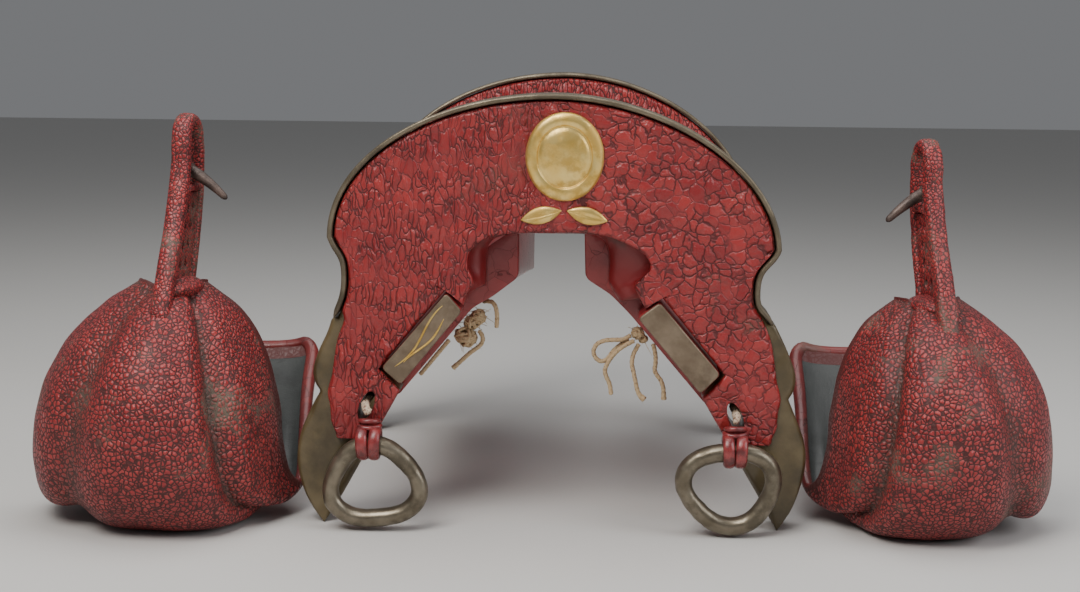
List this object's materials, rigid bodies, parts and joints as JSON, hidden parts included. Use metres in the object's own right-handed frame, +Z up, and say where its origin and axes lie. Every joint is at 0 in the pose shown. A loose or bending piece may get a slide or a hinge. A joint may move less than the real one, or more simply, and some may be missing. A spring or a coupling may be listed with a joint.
{
  "type": "saddle and stirrup set",
  "caption": "Red leather covered wooden war saddle with arched front and rear boards, hanging rings and a matching pair of deep bowl stirrups.",
  "frame": {"origin": "middle of the whole set on the plane it stands on", "axes": "+X across the saddle from its left stirrup to its right stirrup as seen from the front arch, +Y from the front arch to the rear arch, +Z up"},
  "size_m": [0.6928, 0.4469, 0.2991],
  "materials": {
    "red_leather": "grained lacquered leather, satin, with darker creases",
    "dark_leather": "smooth dark red leather, glossy",
    "brown_lacquer": "brown lacquer, satin, worn",
    "edge_metal": "dull grey brown edge band, satin",
    "ring_metal": "grey bronze, satin",
    "gilt": "worn gilt, satin",
    "slate": "dark slate lacquer, satin",
    "twine": "tan twisted twine, matt",
    "braid": "cream speckled braid, matt",
    "iron": "dark iron, satin"
  },
  "bodies": {
    "saddle": {"front_arch_core": "brown_lacquer", "front_arch_inner_leather": "red_leather", "front_arch_leather": "red_leather", "front_arch_rim": "edge_metal", "gilt_boss": "gilt", "gilt_leaf_left": "gilt", "gilt_leaf_right": "gilt", "hitch_binding_left": "dark_leather", "hitch_binding_right": "dark_leather", "hitch_thong_left": "braid", "hitch_thong_right": "braid", "rear_arch_core": "brown_lacquer", "rear_arch_inner_leather": "red_leather", "rear_arch_leather": "red_leather", "rear_arch_rim": "edge_metal", "seat_board_left": "red_leather", "seat_board_right": "red_leather", "twine_end_left_a": "twine", "twine_end_left_b": "twine", "twine_end_left_c": "twine", "twine_end_right_a": "twine", "twine_end_right_b": "twine", "twine_end_right_c": "twine", "twine_end_right_d": "twine", "twine_knot_left": "twine", "twine_knot_right": "twine"},
    "ring_left": {"ring_left": "ring_metal"},
    "ring_right": {"ring_right": "ring_metal"},
    "stirrup_left": {"stirrup_bed_left": "slate", "stirrup_hood_left": "red_leather", "stirrup_neck_left": "red_leather"},
    "stirrup_right": {"stirrup_bed_right": "slate", "stirrup_hood_right": "red_leather", "stirrup_neck_right": "red_leather"},
    "prong_left": {"stirrup_prong_left": "iron"},
    "prong_right": {"stirrup_prong_right": "iron"}
  },
  "joints": [
    {"name": "ring_left_swing", "type": "hinge", "parent": "saddle", "child": "ring_left", "pos_m": [-0.11017, -0.16505, 0.05882], "axis": [-1, 0, 0], "range_deg": [0, 120]},
    {"name": "ring_right_swing", "type": "hinge", "parent": "saddle", "child": "ring_right", "pos_m": [0.12582, -0.16505, 0.05756], "axis": [-1, 0, 0], "range_deg": [0, 120]},
    {"name": "stirrup_left_lift", "type": "slide", "parent": "saddle", "child": "stirrup_left", "axis": [0, 0, 1], "range_m": [0, 0.2]},
    {"name": "stirrup_right_lift", "type": "slide", "parent": "saddle", "child": "stirrup_right", "axis": [0, 0, 1], "range_m": [0, 0.2]},
    {"name": "prong_left_swing", "type": "hinge", "parent": "stirrup_left", "child": "prong_left", "pos_m": [-0.23932, -0.13071, 0.23809], "axis": [-0.1564, -0.9877, 0], "range_deg": [0, 100]},
    {"name": "prong_right_swing", "type": "hinge", "parent": "stirrup_right", "child": "prong_right", "pos_m": [0.25612, -0.11637, 0.22771], "axis": [-0.1908, 0.9816, 0], "range_deg": [0, 100]}
  ]
}
